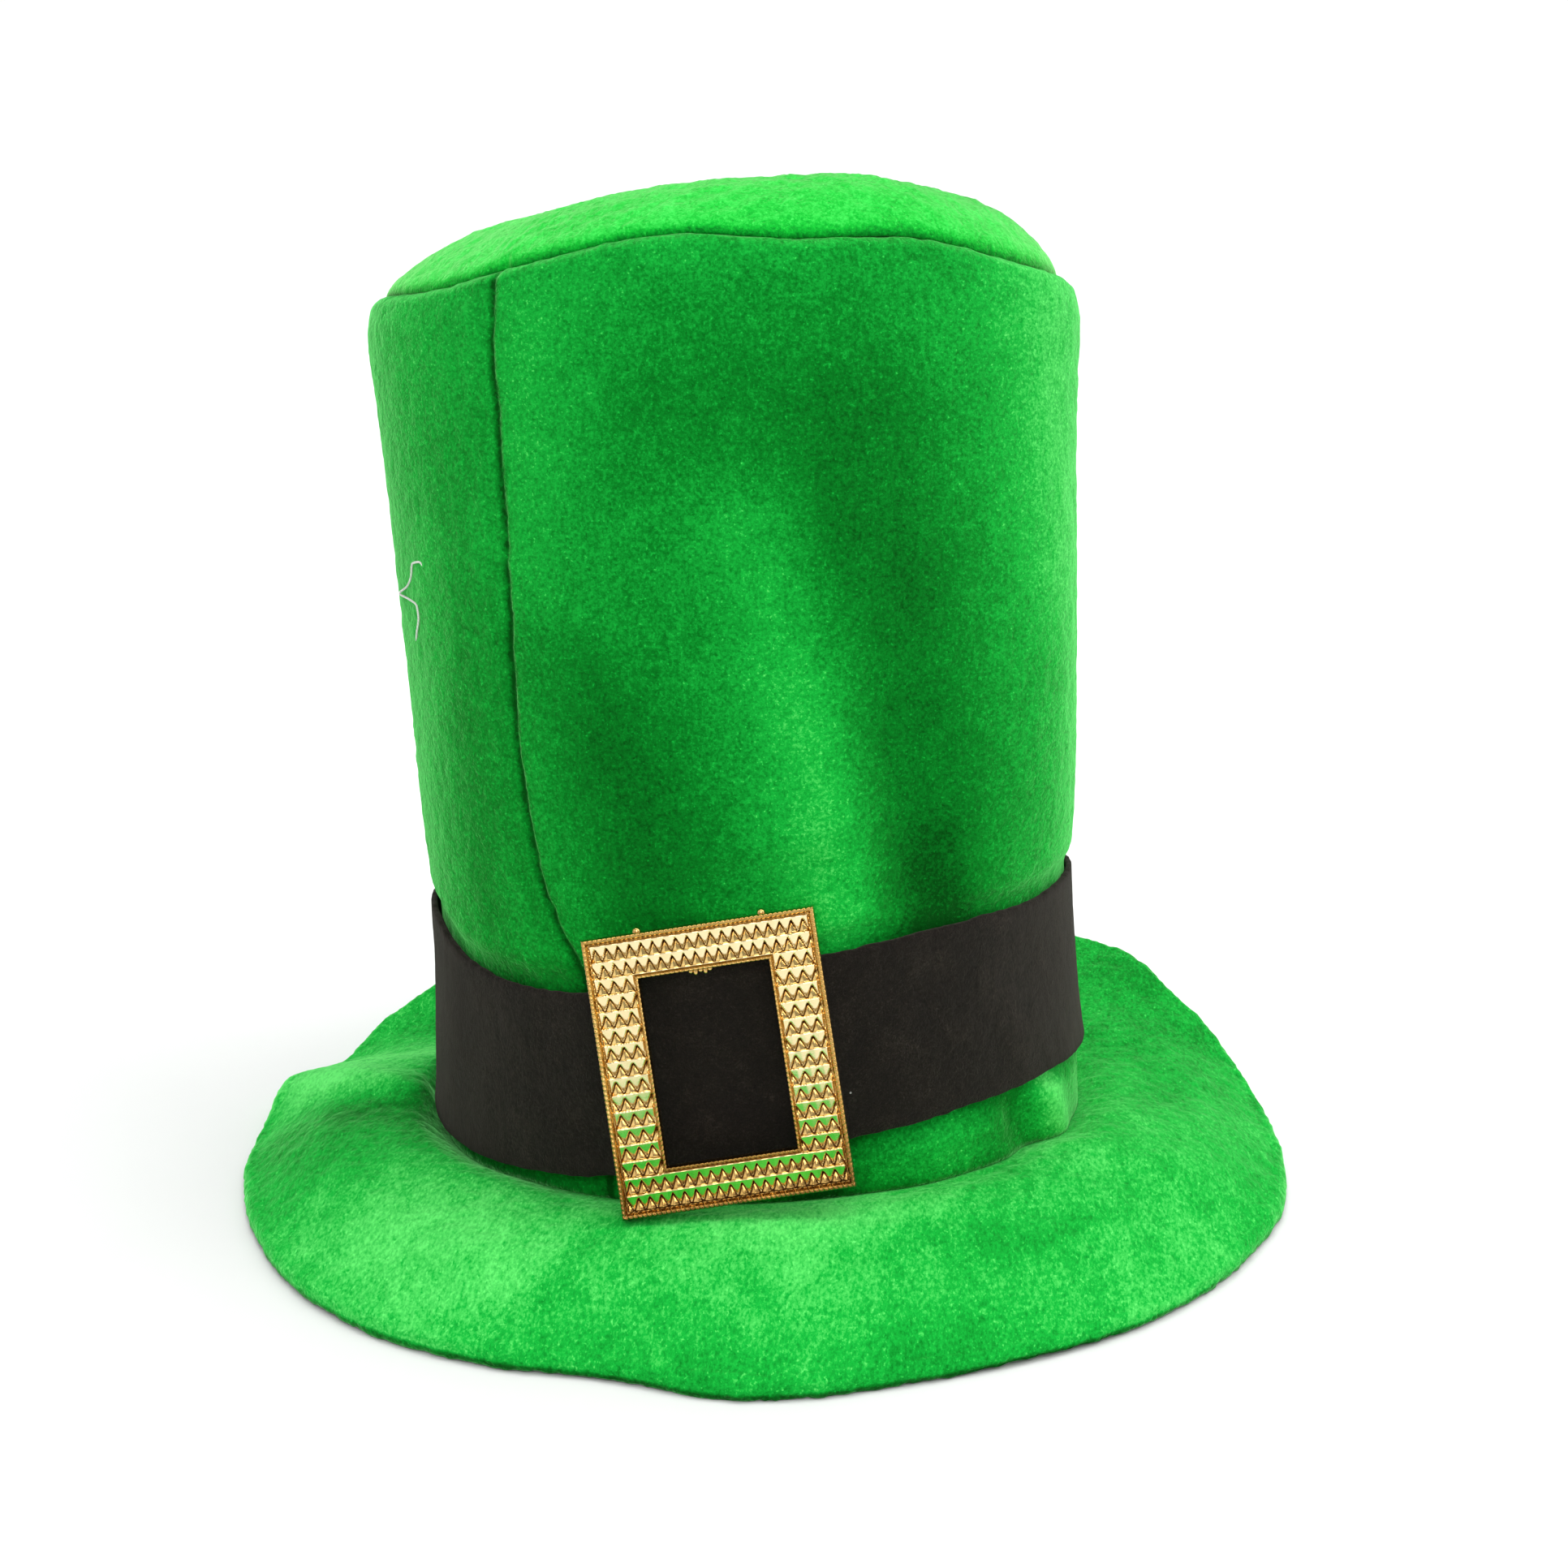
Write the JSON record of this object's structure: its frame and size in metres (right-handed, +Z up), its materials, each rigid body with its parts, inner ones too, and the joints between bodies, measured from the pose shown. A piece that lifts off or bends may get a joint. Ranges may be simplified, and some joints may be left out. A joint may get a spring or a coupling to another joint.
{
  "type": "leprechaun hat",
  "caption": "Tall plush top hat with a domed tip, a soft wavy brim, a loose felt band and a rectangular gilt buckle, resting on its brim.",
  "frame": {"origin": "on the floor, under the middle of the hat's bounding box", "axes": "+Z up, the buckle looks towards -Y, +X to the right of someone facing the buckle"},
  "size_m": [0.3194, 0.3172, 0.291],
  "materials": {
    "plush_side": "short-pile plush on foam, bright green",
    "plush_tip": "short-pile plush on foam, bright green",
    "plush_brim": "padded short-pile plush, bright green",
    "felt_band": "black felt",
    "gilt_buckle": "moulded plastic with a bright gilt coat"
  },
  "bodies": {
    "root": {"crown_side": "plush_side", "crown_top": "plush_tip", "brim": "plush_brim", "hat_band": "felt_band", "buckle": "gilt_buckle"}
  },
  "joints": []
}
